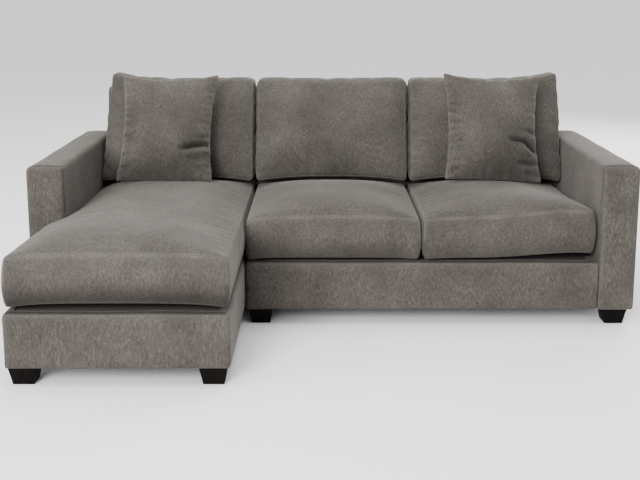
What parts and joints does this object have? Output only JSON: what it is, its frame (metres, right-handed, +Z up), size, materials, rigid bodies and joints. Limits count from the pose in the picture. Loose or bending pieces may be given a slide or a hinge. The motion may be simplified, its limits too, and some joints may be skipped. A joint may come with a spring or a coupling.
{
  "type": "sectional sofa",
  "caption": "Upholstered sectional sofa with a chaise on the left, track arms, loose crowned seat and back cushions, throw pillows and dark tapered block feet.",
  "frame": {"origin": "on the floor, under the middle of the sofa's outline", "axes": "+X to the right along the back as seen from the front, +Y to the back, +Z up"},
  "size_m": [2.3, 1.56, 0.891],
  "materials": {
    "upholstery": "soft short-pile velvet",
    "frame_timber": "sawn softwood",
    "plywood": "raw plywood",
    "webbing": "woven elastic",
    "zinc_steel": "zinc plated",
    "deck_cloth": "plain woven deck cloth",
    "dust_cloth": "black non-woven cloth",
    "foot_wood": "near-black satin stain",
    "foam": "open-cell foam",
    "fibre": "white fibre filling"
  },
  "bodies": {
    "loveseat_section": {"loveseat_front_rail": "frame_timber", "loveseat_side_rails": "frame_timber", "loveseat_rear_rails": "frame_timber", "loveseat_stretchers": "frame_timber", "loveseat_corner_blocks": "frame_timber", "loveseat_back_posts": "frame_timber", "loveseat_back_cap_rail": "frame_timber", "loveseat_seat_webbing": "webbing", "loveseat_cross_webbing": "webbing", "loveseat_back_webbing": "webbing", "loveseat_foot_bolts": "zinc_steel", "loveseat_foot_nuts": "zinc_steel", "loveseat_deck_pad": "deck_cloth", "loveseat_dust_cover": "dust_cloth", "loveseat_feet": "foot_wood", "loveseat_base_cover": "upholstery", "loveseat_back_cover": "upholstery", "hook_sleeves": "zinc_steel", "right_arm_boards": "frame_timber", "right_arm_uprights": "plywood", "right_arm_cover": "upholstery", "right_arm_front_panel": "upholstery"},
    "chaise_section": {"chaise_front_rail": "frame_timber", "chaise_side_rails": "frame_timber", "chaise_rear_rails": "frame_timber", "chaise_stretchers": "frame_timber", "chaise_corner_blocks": "frame_timber", "chaise_back_posts": "frame_timber", "chaise_back_cap_rail": "frame_timber", "chaise_seat_webbing": "webbing", "chaise_cross_webbing": "webbing", "chaise_back_webbing": "webbing", "chaise_foot_bolts": "zinc_steel", "chaise_foot_nuts": "zinc_steel", "chaise_deck_pad": "deck_cloth", "chaise_dust_cover": "dust_cloth", "chaise_feet": "foot_wood", "chaise_base_cover": "upholstery", "chaise_back_cover": "upholstery", "hook_tongues": "zinc_steel", "left_arm_boards": "frame_timber", "left_arm_uprights": "plywood", "left_arm_cover": "upholstery", "left_arm_front_panel": "upholstery"},
    "chaise_seat_cushion": {"chaise_seat_cover": "upholstery", "chaise_seat_core": "foam"},
    "middle_seat_cushion": {"middle_seat_cover": "upholstery", "middle_seat_core": "foam"},
    "right_seat_cushion": {"right_seat_cover": "upholstery", "right_seat_core": "foam"},
    "left_back": {"left_back_cushion": "upholstery", "left_back_fill": "fibre"},
    "middle_back": {"middle_back_cushion": "upholstery", "middle_back_fill": "fibre"},
    "right_back": {"right_back_cushion": "upholstery", "right_back_fill": "fibre"},
    "left_pillow": {"left_throw_pillow": "upholstery", "left_pillow_insert": "fibre"},
    "right_pillow": {"right_throw_pillow": "upholstery", "right_pillow_insert": "fibre"}
  },
  "joints": [
    {"name": "chaise_unhook", "type": "slide", "parent": "loveseat_section", "child": "chaise_section", "axis": [0, 0, 1], "range_m": [0, 0.06]},
    {"name": "chaise_seat_lift", "type": "slide", "parent": "chaise_section", "child": "chaise_seat_cushion", "axis": [0, 0, 1], "range_m": [0, 0.4]},
    {"name": "middle_seat_lift", "type": "slide", "parent": "loveseat_section", "child": "middle_seat_cushion", "axis": [0, 0, 1], "range_m": [0, 0.4]},
    {"name": "right_seat_lift", "type": "slide", "parent": "loveseat_section", "child": "right_seat_cushion", "axis": [0, 0, 1], "range_m": [0, 0.4]},
    {"name": "left_back_lift", "type": "slide", "parent": "chaise_seat_cushion", "child": "left_back", "axis": [0, 0, 1], "range_m": [0, 0.42]},
    {"name": "middle_back_lift", "type": "slide", "parent": "middle_seat_cushion", "child": "middle_back", "axis": [0, 0, 1], "range_m": [0, 0.42]},
    {"name": "right_back_lift", "type": "slide", "parent": "right_seat_cushion", "child": "right_back", "axis": [0, 0, 1], "range_m": [0, 0.42]},
    {"name": "left_pillow_lift", "type": "slide", "parent": "left_back", "child": "left_pillow", "axis": [0, 0, 1], "range_m": [0, 0.46]},
    {"name": "right_pillow_lift", "type": "slide", "parent": "right_back", "child": "right_pillow", "axis": [0, 0, 1], "range_m": [0, 0.46]}
  ]
}
